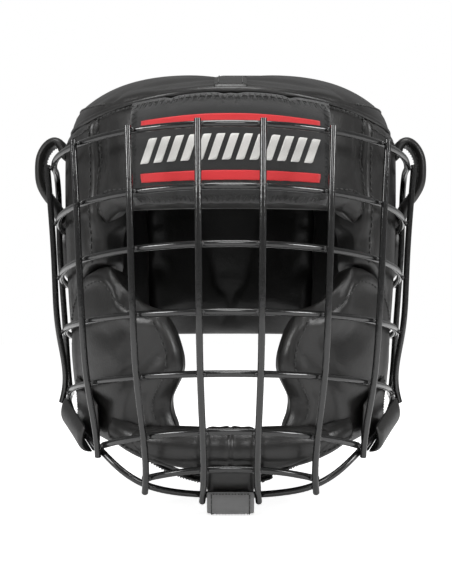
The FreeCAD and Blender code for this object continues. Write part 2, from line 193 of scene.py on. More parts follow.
def apply_modifiers(obj):
    """Turns the modified shape into the mesh itself."""
    graph = bpy.context.evaluated_depsgraph_get()
    graph.update()
    mesh = bpy.data.meshes.new_from_object(obj.evaluated_get(graph), depsgraph=graph)
    old = obj.data
    obj.modifiers.clear()
    obj.data = mesh
    mesh.name = obj.name
    if old.users == 0:
        bpy.data.meshes.remove(old)


def subdivide(obj):
    """Smooth subdivision, applied."""
    modifier = obj.modifiers.new("smooth", "SUBSURF")
    modifier.levels = modifier.render_levels = 1
    apply_modifiers(obj)


def tube(points, radius, closed=False, sides=12, up=(0.0, 0.0, 1.0)):
    """Points and faces of a round rod along points; radius may vary along it."""
    points = np.asarray(points, float)
    count = len(points)
    radius = np.broadcast_to(np.asarray(radius, float), (count,))
    if closed:
        tangents = unit(np.roll(points, -1, axis=0) - np.roll(points, 1, axis=0))
    else:
        tangents = unit(np.gradient(points, axis=0))
    side = np.cross(tangents[0], up)
    if np.linalg.norm(side) < 0.1:
        side = np.cross(tangents[0], (0.0, 1.0, 0.0))
    side = unit(side)
    verts = []
    for index in range(count):
        side = unit(side - tangents[index] * np.dot(side, tangents[index]))
        other = np.cross(tangents[index], side)
        for step in range(sides):
            turn = 2 * math.pi * step / sides
            verts.append(points[index] + radius[index] * (math.cos(turn) * side + math.sin(turn) * other))
    faces = []
    rings = count if closed else count - 1
    for index in range(rings):
        here, there = index * sides, ((index + 1) % count) * sides
        for step in range(sides):
            after = (step + 1) % sides
            faces.append((here + step, here + after, there + after, there + step))
    if not closed:
        faces.append(tuple(reversed(range(sides))))
        faces.append(tuple(range((count - 1) * sides, count * sides)))
    return verts, faces


def merged(parts):
    """One list of points and one of faces from several pairs."""
    verts, faces = [], []
    for part_verts, part_faces in parts:
        offset = len(verts)
        verts.extend(part_verts)
        faces.extend(tuple(index + offset for index in face) for face in part_faces)
    return verts, faces


def attach(obj, body, nodes=()):
    """Puts an object on a body, in place of the frame nodes it stands for."""
    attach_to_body(obj, body)
    if nodes:
        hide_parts(*nodes)


# ---------------------------- pads


def helmet_point(angle, height, depth):
    """Points on the padding, depth millimetres in from its outer face."""
    half_width = WIDEST_HALF_WIDTH - SIDE_TAPER * (height - WIDEST_HEIGHT) ** 2 - depth
    half_depth = LONGEST_HALF_DEPTH - FRONT_TAPER * (height - LONGEST_HEIGHT) ** 2 - depth
    turn = np.radians(angle)
    # the side padding swells out behind the end of the cage
    around = np.abs(np.mod(angle + 180, 360) - 180)
    swell = SIDE_SWELL * smooth_step((around - 93) / 9) * smooth_step((150 - around) / 30)
    return np.stack([(half_width + swell) * np.sin(turn), PLAN_CENTRE_Y - half_depth * np.cos(turn),
                     height + 0 * depth], axis=-1)


def band_top(angle):
    """Top edge of the band of pads."""
    return BAND_TOP_SIDE + BAND_TOP_RISE * np.cos(np.radians(angle)) ** 2


def brow(angle):
    """Lower edge of the forehead pad, rounded down at the corners of the eye opening."""
    corner = (np.abs(angle) - BROW_CORNER_START) / (FOREHEAD_EDGE - BROW_CORNER_START)
    return BROW_HEIGHT - BROW_CORNER_DROP * smooth_step(corner)


def cheek_top(angle):
    """Lower edge of the eye opening, then the seam under the side pad."""
    eye_edge = -11.0 + 0.0355 * np.maximum(0.0, angle - 21.0) ** 2
    back = smooth_step((angle - FOREHEAD_EDGE) / (CHEEK_BACK_EDGE - FOREHEAD_EDGE))
    seam = EYE_LOWER_CORNER + (CHEEK_SEAM_BACK - EYE_LOWER_CORNER) * back
    return np.minimum(eye_edge, seam)


def cheek_bottom(angle):
    """Jaw line: level over the chin guard, down to the jaw, up towards the ear."""
    jaw = (JAW_BOTTOM - CHEEK_FRONT_BOTTOM) * smooth_step((angle - 32) / 12)
    rise = (JAW_BACK_BOTTOM - JAW_BOTTOM) * smooth_step((angle - 58) / 42)
    return CHEEK_FRONT_BOTTOM + jaw + rise


def forehead_region(s, t):
    """Angle and height in the forehead pad."""
    angle = FOREHEAD_EDGE * (2 * s - 1)
    return angle, brow(angle) + t * (band_top(angle) - brow(angle))


def side_region(s, t):
    """Angle and height in the side pad."""
    angle = FOREHEAD_EDGE + 0.3 + s * (SIDE_BACK_EDGE - FOREHEAD_EDGE)
    bottom = cheek_top(angle) + 0.5
    return angle, bottom + t * (band_top(angle) - bottom)


def cheek_region(s, t):
    """Angle and height in the cheek pad."""
    edge = spline(CHEEK_FRONT_EDGE, 60)
    front = np.interp(t, edge[:, 0], edge[:, 1])
    angle = front + s * (CHEEK_BACK_EDGE - front)
    return angle, cheek_bottom(angle) + t * (cheek_top(angle) - cheek_bottom(angle))


def back_region(s, t):
    """Angle and height in the back pad."""
    angle = SIDE_BACK_EDGE + 0.3 + s * (360 - 2 * SIDE_BACK_EDGE - 0.6)
    return angle, BACK_BOTTOM + t * (band_top(angle) - BACK_BOTTOM)


def crown_place(s, t, depth):
    """Points of one crown half: s from the middle to the rim, t from front to back."""
    along = 2 * t - 1
    across = s * np.sqrt(1 - along * along / 2)
    along = along * np.sqrt(1 - s * s / 2)
    from_middle = np.minimum(1.0, np.hypot(across, along))
    endward = (along / np.maximum(from_middle, 1e-6)) ** 2
    fullness = CROWN_SIDE_FULLNESS + (CROWN_END_FULLNESS - CROWN_SIDE_FULLNESS) * endward
    height = CROWN_TOP - (CROWN_FALL - CROWN_END_RISE * endward) * from_middle ** fullness
    x = CROWN_SPLIT + (CROWN_HALF_WIDTH - CROWN_SPLIT) * across
    return np.stack([x, PLAN_CENTRE_Y + CROWN_HALF_DEPTH * along, height - depth], axis=-1)


# each kind of edge: how far in it reaches, how deep its outer face drops, how deep its inner face rises
EDGES = {
    "free": (13.0, 8.0, 20.0),
    "seam": (6.0, 2.6, 4.0),
    "soft_seam": (4.0, 1.1, 3.0),
    "crease": (4.0, 1.4, 2.0),
    "rim": (8.0, 5.0, 3.0),
}


def edge_drop(distance, kind, other, face):
    """How far the outer (0) or inner (1) face is drawn in at a distance from an edge.

    A kind is a name, or two names and the share along the edge where the first gives way to the second.
    """
    if isinstance(kind, tuple):
        first, second, share = kind
        weight = smooth_step((other - share) / 0.10 + 0.5)
        return (edge_drop(distance, first, other, face) * (1 - weight)
                + edge_drop(distance, second, other, face) * weight)
    reach, *losses = EDGES[kind]
    near = np.clip(1 - distance / (reach * (1.0 + 0.7 * face)), 0, 1)
    return losses[face] * (1 - np.sqrt(1 - near ** 2.0))


def strap_loss(distance, kind, thickness):
    """How far both faces of a strap are drawn in near its cut edge."""
    reach = 2.2 if kind == "thin" else 5.0
    near = np.clip(1 - distance / reach, 0, 1)
    return thickness / 2 * (1 - np.sqrt(1 - near ** 2.0))


class Pad:
    """A closed padded form over a grid, with an outer and an inner face that meet at its edges."""

    def __init__(self, name, place, length, height, edges, thickness, mirror=False, step=GRID_STEP):
        self.name = name
        self.rows = max(8, int(length / step))
        self.columns = max(6, int(height / step))
        self.mirror = mirror
        s, t = np.meshgrid(np.linspace(0, 1, self.rows), np.linspace(0, 1, self.columns), indexing="ij")
        full = thickness(s, t) if callable(thickness) else np.full_like(s, thickness)
        distances = (s * length, (1 - s) * length, t * height, (1 - t) * height)
        others = (t, t, s, s)
        drops = []
        for face in (0, 1):
            total = np.zeros_like(s)
            for distance, kind, other in zip(distances, edges, others):
                if kind in ("thin", "soft"):
                    drop = strap_loss(distance, kind, full)
                else:
                    drop = edge_drop(distance, kind, other, face)
                total = np.hypot(total, drop)
            drops.append(total)
        # where the two faces would cross near a corner they share the room between them
        excess = np.maximum(1.0, (drops[0] + drops[1]) / (full - 0.5))
        outer = place(s, t, drops[0] / excess)
        inner = place(s, t, full - drops[1] / excess)
        if mirror:
            outer[..., 0] *= -1
            inner[..., 0] *= -1
        self.count = self.rows * self.columns
        verts = np.vstack([outer.reshape(-1, 3), inner.reshape(-1, 3)])
        self.rim = self.edge_indices()
        faces = []
        for i in range(self.rows - 1):
            for j in range(self.columns - 1):
                a, b = self.index(i, j), self.index(i + 1, j)
                c, d = self.index(i + 1, j + 1), self.index(i, j + 1)
                faces.append((a, b, c, d))
                faces.append(tuple(k + self.count for k in (d, c, b, a)))
        for a, b in zip(self.rim, self.rim[1:] + self.rim[:1]):
            faces.append((b, a, a + self.count, b + self.count))
        if mirror:
            faces = [tuple(reversed(face)) for face in faces]
        self.obj = make_object(name, verts, faces)
        self.surface = outer
        self.held = self.rim + [index + self.count for index in self.rim]

    def index(self, i, j):
        """Index of an outer grid point; its inner one is count further on."""
        return i * self.columns + j

    def edge_indices(self):
        """Outer indices round the rim, in order."""
        last_i, last_j = self.rows - 1, self.columns - 1
        ring = [self.index(i, 0) for i in range(self.rows)]
        ring += [self.index(last_i, j) for j in range(1, self.columns)]
        ring += [self.index(i, last_j) for i in range(last_i - 1, -1, -1)]
        ring += [self.index(0, j) for j in range(last_j - 1, 0, -1)]
        return ring

    def read(self):
        """Takes the outer face's grid back from the mesh after simulation."""
        points = coordinates(self.obj)[:self.count]
        self.surface = points.reshape(self.rows, self.columns, 3)

    def at(self, s, t):
        """A point of the outer face and its outward direction."""
        x, y = np.clip(s, 0, 1) * (self.rows - 1), np.clip(t, 0, 1) * (self.columns - 1)
        i, j = min(int(x), self.rows - 2), min(int(y), self.columns - 2)
        u, v = x - i, y - j
        grid = self.surface
        a, b, c, d = grid[i, j], grid[i + 1, j], grid[i + 1, j + 1], grid[i, j + 1]
        point = (1 - u) * (1 - v) * a + u * (1 - v) * b + u * v * c + (1 - u) * v * d
        normal = np.cross(b - a + c - d, d - a + c - b)
        if self.mirror:
            normal = -normal
        return point, unit(normal)


def region_place(region):
    """The place function of a pad whose region gives an angle and a height."""
    def place(s, t, depth):
        angle, height = region(s, t)
        return helmet_point(angle, height, depth)
    return place


def crown_thickness(s, t):
    """Thickness of the crown, thin at the rim."""
    return 18.0 - 9.0 * np.maximum(s, np.abs(2 * t - 1)) ** 4


# names, place function, length, height, edges (first s, last s, first t, last t)
SIDE_EDGES = (("free", "seam", 0.24), "seam", ("soft_seam", "free", 0.60), "rim")
CHEEK_EDGES = ("free", "free", ("seam", "free", 0.22), ("free", "soft_seam", 0.38))
CROWN_EDGES = ("crease", "rim", "rim", "rim")
PAD_TABLE = [
    (("forehead",), region_place(forehead_region), 196, 64, ("seam", "seam", "free", "rim")),
    (("back",), region_place(back_region), 168, 137, ("seam", "seam", "free", "rim")),
    (("side_left", "side_right"), region_place(side_region), 172, 116, SIDE_EDGES),
    (("cheek_left", "cheek_right"), region_place(cheek_region), 144, 82, CHEEK_EDGES),
    (("crown_left", "crown_right"), crown_place, 100, 224, CROWN_EDGES),
]


def build_pads():
    """Every pad of the headgear by name."""
    pads = {}
    for names, place, length, height, edges in PAD_TABLE:
        thickness = crown_thickness if place is crown_place else PAD_THICKNESS
        for name in names:
            pads[name] = Pad(name + "_pad", place, length, height, edges, thickness, name.endswith("_right"))
    return pads


# ---------------------------- simulation


CLOTH = {"quality": 6, "mass": 0.25, "tension_stiffness": 12, "compression_stiffness": 12,
         "shear_stiffness": 4, "bending_stiffness": 0.3, "use_pressure": True, "uniform_pressure_force": 4,
         "shrink_min": -0.04}
CLOTH_FRAMES = 20


def inflate(pads, caps):
    """Blows the pads up with cloth pressure, with their edges held, then applies the result."""
    scene = bpy.context.scene
    rest = {}
    for name, pad in pads.items():
        obj = pad.obj
        rest[name] = coordinates(obj)
        group = obj.vertex_groups.new(name="held")
        group.add(pad.held, 1.0, "REPLACE")
        modifier = obj.modifiers.new("inflate", "CLOTH")
        settings = modifier.settings
        for key, value in CLOTH.items():
            setattr(settings, key, value)
        settings.vertex_group_mass = "held"
        settings.effector_weights.gravity = 0
        modifier.collision_settings.use_collision = False
        modifier.point_cache.frame_start = 1
        modifier.point_cache.frame_end = CLOTH_FRAMES
    for step in range(1, CLOTH_FRAMES + 1):
        scene.frame_set(step)
    graph = bpy.context.evaluated_depsgraph_get()
    for name, pad in pads.items():
        obj = pad.obj
        blown = np.zeros(len(obj.data.vertices) * 3, np.float32)
        obj.evaluated_get(graph).data.vertices.foreach_get("co", blown)
        move = blown.reshape(-1, 3).astype(float) / MM - rest[name]
        length = np.linalg.norm(move, axis=1, keepdims=True)
        limit = caps[name.split("_")[0]]
        scaled = move * (limit * np.tanh(length / limit) / np.maximum(length, 1e-6))
        obj.modifiers.clear()
        set_coordinates(obj, rest[name] + scaled)
    scene.frame_set(1)


# ---------------------------- materials


class Nodes:
    """A short way to write a node tree."""

    def __init__(self, name):
        self.material = bpy.data.materials.new(name)
        self.material.use_nodes = True
        self.tree = self.material.node_tree
        self.shader = self.tree.nodes["Principled BSDF"]
        self.place = self.add("ShaderNodeTexCoord").outputs["Object"]

    def add(self, kind, **values):
        """A node, with its inputs and properties set by name."""
        node = self.tree.nodes.new(kind)
        for key, value in values.items():
            key = key.replace("_", " ")
            found = [i for i in node.inputs if i.name.lower() == key.lower()]
            if found:
                self.put(found[0], value)
            else:
                setattr(node, key.replace(" ", "_"), value)
        return node

    def put(self, socket, value):
        """Links or sets an input."""
        if isinstance(value, bpy.types.NodeSocket):
            self.tree.links.new(value, socket)
        else:
            socket.default_value = value

    def set(self, **values):
        """Inputs of the main shader."""
        for key, value in values.items():
            self.put(self.shader.inputs[key.replace("_", " ")], value)

    def noise(self, scale, detail=3.0, rough=0.5):
        """A noise value at a scale in cells per metre."""
        return self.add("ShaderNodeTexNoise", Vector=self.place, Scale=scale, Detail=detail,
                        Roughness=rough).outputs["Fac"]

    def ramp(self, value, low, high, out_low=0.0, out_high=1.0):
        """A value moved from one range to another, held at its ends."""
        return self.add("ShaderNodeMapRange", Value=value, From_Min=low, From_Max=high, To_Min=out_low,
                        To_Max=out_high).outputs["Result"]

    def math(self, operation, a, b=0.0):
        """A sum or another operation on two values."""
        node = self.add("ShaderNodeMath", operation=operation)
        self.put(node.inputs[0], a)
        self.put(node.inputs[1], b)
        return node.outputs[0]

    def mix(self, factor, first, second):
        """A colour between two colours."""
        node = self.add("ShaderNodeMix", data_type="RGBA")
        self.put(node.inputs[0], factor)
        self.put(node.inputs[6], first)
        self.put(node.inputs[7], second)
        return node.outputs[2]

    def bump(self, height, strength, distance, below=None):
        """A bumped normal, on top of another one if given."""
        node = self.add("ShaderNodeBump", Height=height, Strength=strength, Distance=distance)
        if below is not None:
            self.put(node.inputs["Normal"], below)
        return node.outputs["Normal"]


def grey(value, warmth=0.0):
    """A dark neutral colour, a little warm if wanted."""
    return (value * (1 + warmth), value, value * (1 - warmth), 1.0)


def leather(name, value, rough, grain=900.0, grain_depth=0.5, crease=0.3, warmth=0.04):
    """Synthetic leather: fine grain, soft creases, uneven sheen and paler worn edges."""
    n = Nodes(name)
    cells = n.add("ShaderNodeTexVoronoi", Vector=n.place, Scale=grain, feature="SMOOTH_F1")
    cells = cells.outputs["Distance"]
    fine = n.noise(grain * 2.2, 2.0)
    cloud = n.noise(26.0, 4.0, 0.6)
    broad = n.noise(70.0, 5.0, 0.62)
    worn = n.add("ShaderNodeNewGeometry").outputs["Pointiness"]
    worn = n.math("MULTIPLY", n.ramp(worn, 0.515, 0.57), n.ramp(cloud, 0.35, 0.65))
    base = n.mix(cloud, grey(value * 0.75, warmth), grey(value * 1.25, warmth))
    base = n.mix(n.math("MULTIPLY", worn, 0.5), base, grey(value * 3.2, warmth))
    height = n.math("ADD", n.math("MULTIPLY", cells, 0.7), n.math("MULTIPLY", fine, 0.35))
    soft = n.bump(broad, crease, 0.0012)
    normal = n.bump(height, grain_depth, 0.00018, soft)
    roughness = n.math("ADD", n.ramp(cloud, 0.3, 0.7, rough - 0.05, rough + 0.07),
                       n.math("MULTIPLY", n.math("SUBTRACT", cells, 0.4), 0.12))
    n.set(Base_Color=base, Roughness=roughness, Normal=normal, Specular_IOR_Level=0.5)
    n.shader.inputs["Coat Weight"].default_value = 0.12
    n.shader.inputs["Coat Roughness"].default_value = 0.25
    return n.material


def coated_wire():
    """Thick glossy black plastic coat with a faint ripple."""
    n = Nodes("coated_wire")
    ripple = n.noise(120.0, 2.0)
    speck = n.noise(900.0, 2.0)
    normal = n.bump(n.math("ADD", ripple, n.math("MULTIPLY", speck, 0.12)), 0.35, 0.0006)
    n.set(Base_Color=n.mix(ripple, grey(0.004), grey(0.008)), Normal=normal,
          Roughness=n.ramp(speck, 0.3, 0.7, 0.13, 0.24))
    n.shader.inputs["Coat Weight"].default_value = 0.6
    n.shader.inputs["Coat Roughness"].default_value = 0.08
    return n.material


def woven(name, value, pitch=1.1, fuzz=0.0):
    """A plain weave of threads, pitch millimetres apart."""
    n = Nodes(name)
    scale = 1.0 / (pitch * MM)
    axes = n.add("ShaderNodeSeparateXYZ", Vector=n.place)
    threads = []
    for axis, shift in (("X", 0.0), ("Z", 0.5)):
        wave = n.math("SINE", n.math("MULTIPLY", axes.outputs[axis], 2 * math.pi * scale))
        threads.append(n.math("ABSOLUTE", wave))
    weave = n.math("MAXIMUM", threads[0], threads[1])
    hairs = n.noise(2500.0, 3.0)
    height = n.math("ADD", weave, n.math("MULTIPLY", hairs, 0.5 + fuzz))
    base = n.mix(n.ramp(height, 0.4, 1.4), grey(value * 0.5), grey(value * 1.6))
    n.set(Base_Color=base, Roughness=0.85, Normal=n.bump(height, 0.8, 0.0003))
    n.shader.inputs["Sheen Weight"].default_value = 0.25 + fuzz
    n.shader.inputs["Sheen Roughness"].default_value = 0.5
    return n.material


def thread(name, colour):
    """Twisted sewing thread or embroidery in one colour."""
    n = Nodes(name)
    twist = n.add("ShaderNodeTexWave", Vector=n.place, Scale=900.0, Distortion=2.0, wave_type="BANDS",
                  bands_direction="DIAGONAL").outputs["Fac"]
    dark = tuple(c * 0.72 for c in colour[:3]) + (1.0,)
    n.set(Base_Color=n.mix(twist, dark, colour), Roughness=0.6, Normal=n.bump(twist, 0.5, 0.0002))
    n.shader.inputs["Sheen Weight"].default_value = 0.15
    return n.material


def build_materials():
    """Every material by the name it is used under."""
    return {
        "cover": leather("cover_leather", 0.011, 0.36),
        # the lining's dark tone is partly its own dark satin-like colour and partly painted shade for the dim
        # inside of the padding
        "lining": leather("lining_leather_and_painted_shade", 0.006, 0.52, grain=700.0, crease=0.5),
        "strap": leather("strap_leather", 0.012, 0.40, grain=1100.0, crease=0.2),
        "binding": leather("binding_leather", 0.009, 0.34, grain=1300.0, crease=0.4),
        "wire": coated_wire(),
        "patch": woven("patch_fabric", 0.012),
        "fuzz": woven("hook_loop", 0.016, pitch=0.7, fuzz=0.5),
        "tape": woven("webbing_tape", 0.11, pitch=0.9, fuzz=0.3),
        "stitch": thread("black_thread", (0.028, 0.028, 0.027, 1.0)),
        "white": thread("white_thread", (0.78, 0.77, 0.74, 1.0)),
        "red": thread("red_thread", (0.72, 0.018, 0.024, 1.0)),
    }


# ---------------------------- straps

# Paths in the XZ plane, the YZ plane, or outward and upward from the rim, close to the frame's own
UPPER_STRAP_PATH = [(108.6, 86), (109.7, 93), (113.8, 98.4), (119.6, 96), (124, 88.6), (124.9, 79),
                    (123.8, 70), (119.4, 62), (114.8, 56.5), (112.3, 50), (111.6, 45)]
UPPER_STRAP_Y = -5.0
UPPER_STRAP_WIDTH = 26.0
LOWER_STRAP_PATH = [(-5.2, 24), (-4.8, 14), (-4.4, 5), (-4.0, -2), (-2.2, -6), (0.4, -7.5)]
LOWER_FLAP_PATH = [(0.4, -7.5), (4.4, -5.8), (6.6, -1), (5.6, 5), (3.6, 10)]
LOWER_STRAP_WIDTH = 46.0
CHIN_TONGUE_PATH = [(-116.4, -104.8), (-113.8, -109.2), (-108.4, -114.4), (-104.6, -118.6)]
CHIN_LOOP_PATH = [(-98.6, -105.6), (-92.5, -112), (-90.4, -122), (-93.5, -130.5), (-98.8, -133)]
CHIN_FLAP_PATH = [(-98.8, -133), (-104.8, -129.6), (-108.6, -124), (-111, -118.6)]
CHIN_LOOP_WIDTH = 28.4
STRAP_THICKNESS = 2.4
STRAP_SAMPLES = 240
LOWER_STRAP_THICKNESS = 3.6
LOWER_FLAP_THICKNESS = 4.0
UPPER_STRAP_THICKNESS = 6.0
CHIN_TONGUE_THICKNESS = 4.8
# the strap under the chin: place of its middle, half-span, rise and tuck at its ends, gap of its leaves
CHIN_STRAP_Y, CHIN_STRAP_Z = -73.5, -114.0
CHIN_STRAP_HALF_SPAN, CHIN_STRAP_RISE, CHIN_STRAP_TUCK = 66.0, 26.0, 8.0
CHIN_STRAP_LENGTH, CHIN_STRAP_WIDTH, CHIN_STRAP_DROP = 92.0, 25.0, 2.7
CROWN_TAB_Y, CROWN_TAB_WIDTH, CROWN_TAB_LIFT = 14.0, 44.0, 1.6
THREAD_RADIUS = 0.42


def strap_place(path, across, width, thickness, sag=0.0):
    """The place function of a strap: s along its path, t across it."""
    dense = spline(path, STRAP_SAMPLES)
    places = np.arange(STRAP_SAMPLES)
    across = unit(across)
    normals = unit(np.cross(across, np.gradient(dense, axis=0)))

    def place(s, t, depth):
        where = s * places[-1]
        point = sample(dense, places, where)
        normal = sample(normals, places, where)
        lift = thickness / 2 - depth - sag * (2 * t - 1) ** 2
        return point + across * ((t - 0.5) * width)[..., None] + normal * lift[..., None]
    return place


def make_strap(name, path, across, width, thickness=STRAP_THICKNESS, edge="thin", mirror=False, sag=0.0):
    """A flat strap with rounded edges; its outer face lies on the left of its path."""
    place = strap_place(path, across, width, thickness, sag)
    return Pad(name, place, path_length(path), width, (edge,) * 4, thickness, mirror, step=2.0)


def clothe(pad, body, material="cover", nodes=()):
    """Gives a strap or pad its material, smooth surface, body and the frame nodes it stands for."""
    pad.obj.data.materials.append(MATERIALS[material])
    subdivide(pad.obj)
    attach(pad.obj, body, nodes)


# ---------------------------- stitches


def run_on(pad, path, pitch=4.2, gap=0.32):
    """Stitches along a path of (s, t) places on a pad, as points and faces."""
    dense = []
    for (s0, t0), (s1, t1) in zip(path, path[1:]):
        steps = 30
        dense += [(s0 + (s1 - s0) * k / steps, t0 + (t1 - t0) * k / steps) for k in range(steps)]
    dense.append(path[-1])
    samples = [pad.at(s, t) for s, t in dense]
    points = np.array([p for p, n in samples])
    normals = np.array([n for p, n in samples])
    lengths = np.concatenate([[0], np.cumsum(np.linalg.norm(np.diff(points, axis=0), axis=1))])
    count = max(1, int(lengths[-1] / pitch))
    parts = []
    for index in range(count):
        low = lengths[-1] * (index + gap / 2) / count
        high = lengths[-1] * (index + 1 - gap / 2) / count
        shares = np.linspace(low, high, 5)
        lift = np.array([-0.35, 0.30, 0.42, 0.30, -0.35])[:, None]
        place = sample(points, lengths, shares)
        out = sample(normals, lengths, shares)
        parts.append(tube(place + out * lift, THREAD_RADIUS, sides=6, up=normals[0]))
    return parts


def stitch_mesh(name, runs):
    """One object of many stitches."""
    return make_object(name, *merged([part for run in runs for part in run]), MATERIALS["stitch"])


def stitch_object(name, runs, body="helmet"):
    """Stitches on a body."""
    attach(stitch_mesh(name, runs), body)


def straight(fixed, low, high, along="t", steps=12):
    """A path of places at one s or one t."""
    shares = [low + (high - low) * k / steps for k in range(steps + 1)]
    return [(fixed, value) if along == "t" else (value, fixed) for value in shares]


def pad_stitches():
    """Rows of stitches beside the seams and round the eye opening."""
    seam_lines = {
        "forehead": [straight(0.022, 0.06, 0.95), straight(0.978, 0.06, 0.95), straight(0.2, 0.03, 0.97, "s"),
                     straight(0.93, 0.03, 0.97, "s")],
        "side_left": [straight(0.035, 0.02, 0.95), straight(0.92, 0.03, 0.97, "s"),
                      straight(0.972, 0.05, 0.95)],
        "cheek_left": [straight(0.91, 0.07, 0.97, "s"), straight(0.06, 0.10, 0.90)],
        "back": [straight(0.03, 0.05, 0.95), straight(0.97, 0.05, 0.95), straight(0.06, 0.03, 0.97, "s")],
        "crown_left": [straight(0.04, 0.06, 0.94), straight(0.93, 0.06, 0.94)],
    }
    for name in list(seam_lines):
        if name.endswith("_left"):
            seam_lines[name.replace("_left", "_right")] = seam_lines[name]
    for name, lines in seam_lines.items():
        stitch_object(name + "_stitches", [run_on(PADS[name], line) for line in lines])


# ---------------------------- cage details

UPRIGHT_ANGLES = [9.0, 29.9, 52.5, 85.0]
CAGE_BACK_ANGLE = 99.0
CAGE_CENTRE_Y = -10.0
WIRE_RADIUS = 2.0
# each crossbar: height and y at the front, half-width, fall per millimetre towards the back
CAGE_LEVELS = [
    (96.4, -146.5, 115.0, 0.127),
    (60.3, -153.0, 112.0, 0.122),
    (27.6, -156.0, 110.0, 0.138),
    (-11.0, -156.0, 107.5, 0.110),
    (-46.3, -152.0, 103.8, 0.145),
    (-80.0, -142.0, 97.0, 0.250),
    (-103.7, -123.0, 97.5, 0.450),
]


def cage_point(level, angle):
    """A point on a crossbar's centre line."""
    height, front, half_width, fall = CAGE_LEVELS[level]
    turn = math.radians(angle)
    y = CAGE_CENTRE_Y - (CAGE_CENTRE_Y - front) * math.cos(turn)
    return np.array([half_width * math.sin(turn), y, height - fall * (y - front)])


def bead(centre, along, radius):
    """A small lump of weld drawn out along a direction."""
    points = [centre + along * offset for offset in np.linspace(-1, 1, 7) * radius * 1.25]
    radii = [radius * math.sqrt(max(0.02, 1 - share ** 2)) for share in np.linspace(-1, 1, 7)]
    return tube(points, radii, sides=10)


def weld_beads():
    """Lumps of weld under the coat where the wires cross."""
    parts = []
    for index, angle in enumerate(UPRIGHT_ANGLES):
        for level in range({0: 7, 1: 7, 2: 6, 3: 5}[index]):
            below = cage_point(min(6, level + 1), angle)
            above = cage_point(max(0, level - 1), angle)
            along_bar = unit(cage_point(level, angle + 1) - cage_point(level, angle - 1))
            outward = -unit(np.cross(above - below, along_bar))
            middle = cage_point(level, angle) + outward * WIRE_RADIUS
            for side in (-1, 1):
                parts.append(bead(middle + along_bar * side * 1.5, along_bar, 1.35))
    for level in (1, 2, 3):
        below, above = cage_point(level + 1, CAGE_BACK_ANGLE), cage_point(level - 1, CAGE_BACK_ANGLE)
        along_bar = unit(cage_point(level, CAGE_BACK_ANGLE + 1) - cage_point(level, CAGE_BACK_ANGLE - 1))
        outward = -unit(np.cross(above - below, along_bar))
        parts.append(bead(cage_point(level, CAGE_BACK_ANGLE) + outward * WIRE_RADIUS, along_bar, 1.6))
    verts, faces = merged(parts)
    other = [(-v[0], v[1], v[2]) for v in verts]
    offset = len(verts)
    faces = faces + [tuple(index + offset for index in reversed(face)) for face in faces]
    obj = make_object("cage_weld_beads", list(verts) + other, faces, MATERIALS["wire"])
    attach(obj, "cage")


# ---------------------------- small pieces


def lower_frame():
    """Middle of the lower strap on the rim, its width, outward and upward directions."""
    across = unit(np.array([78.0, -88, -97]) - np.array([105.0, -22, -70.5]))
    outward = np.array([0.88, -0.35, -0.2])
    outward = unit(outward - across * np.dot(outward, across))
    upward = unit(np.cross(across, outward))
    if upward[2] < 0:
        upward = -upward
    return np.array([93.2, -54, -83.6]), across, outward, upward


def build_straps():
    """Every strap of the headgear."""
    straps = {}
    upper = [(x, UPPER_STRAP_Y, z) for x, z in UPPER_STRAP_PATH]
    middle, across, outward, upward = lower_frame()
    leaf = [middle + outward * out + upward * up for out, up in LOWER_STRAP_PATH]
    flap = [middle + outward * out + upward * up for out, up in LOWER_FLAP_PATH]
    for side in ("left", "right"):
        mirror = side == "right"
        straps["upper_" + side] = make_strap("upper_strap_%s_leather" % side, upper, (0, 1, 0),
                                             UPPER_STRAP_WIDTH, UPPER_STRAP_THICKNESS, "soft",
                                             mirror=mirror, sag=0.5)
        straps["lower_" + side] = make_strap("lower_strap_%s_leather" % side, leaf, across,
                                             LOWER_STRAP_WIDTH, LOWER_STRAP_THICKNESS, "soft",
                                             mirror=mirror)
        straps["lower_flap_" + side] = make_strap("lower_flap_%s_leather" % side, flap, across,
                                                  LOWER_STRAP_WIDTH, LOWER_FLAP_THICKNESS, "soft",
                                                  mirror=mirror, sag=0.3)
    side_path = {"chin_tongue": CHIN_TONGUE_PATH, "chin_loop": CHIN_LOOP_PATH, "chin_flap": CHIN_FLAP_PATH}
    for name, path in side_path.items():
        points = [(0.0, y, z) for y, z in path]
        thick, edge = (CHIN_TONGUE_THICKNESS, "soft") if name == "chin_tongue" else (STRAP_THICKNESS, "thin")
        straps[name] = make_strap(name + "_leather", points, (1, 0, 0), CHIN_LOOP_WIDTH, thick, edge)
    for name, drop, mirror in (("chin_strap_left", 0.0, True), ("chin_strap_right", CHIN_STRAP_DROP, False)):
        points = []
        for index in range(8):
            x = -CHIN_STRAP_HALF_SPAN + index / 7 * CHIN_STRAP_LENGTH
            tuck = abs(x / CHIN_STRAP_HALF_SPAN) ** 2.2
            points.append((x, CHIN_STRAP_Y + CHIN_STRAP_TUCK * tuck,
                           CHIN_STRAP_Z - drop + CHIN_STRAP_RISE * tuck))
        straps[name] = make_strap(name + "_leather", points, (0, 1, 0), CHIN_STRAP_WIDTH, mirror=mirror)
    points = []
    for index in range(6):
        x = -8 + index * 9
        fall = CROWN_FALL * abs(x / CROWN_HALF_WIDTH) ** CROWN_SIDE_FULLNESS
        points.append((x, CROWN_TAB_Y, CROWN_TOP + CROWN_TAB_LIFT - fall))
    straps["crown_tab"] = make_strap("crown_tab_leather", points, (0, 1, 0), CROWN_TAB_WIDTH)

    def rear_place(s, t, depth):
        return helmet_point(129 + 102 * s, 18 + 40 * t, depth - 5.2)
    straps["rear_strap"] = Pad("rear_strap_leather", rear_place, 190, 40, ("thin",) * 4, STRAP_THICKNESS,
                               step=2.5)

    def loop_place(s, t, depth):
        return helmet_point(160 + 52 * s, 22 + 32 * t, depth - 1.6)
    straps["rear_loop_patch"] = Pad("rear_loop_patch_fuzz", loop_place, 97, 32, ("thin",) * 4, 1.2, step=2.5)
    return straps


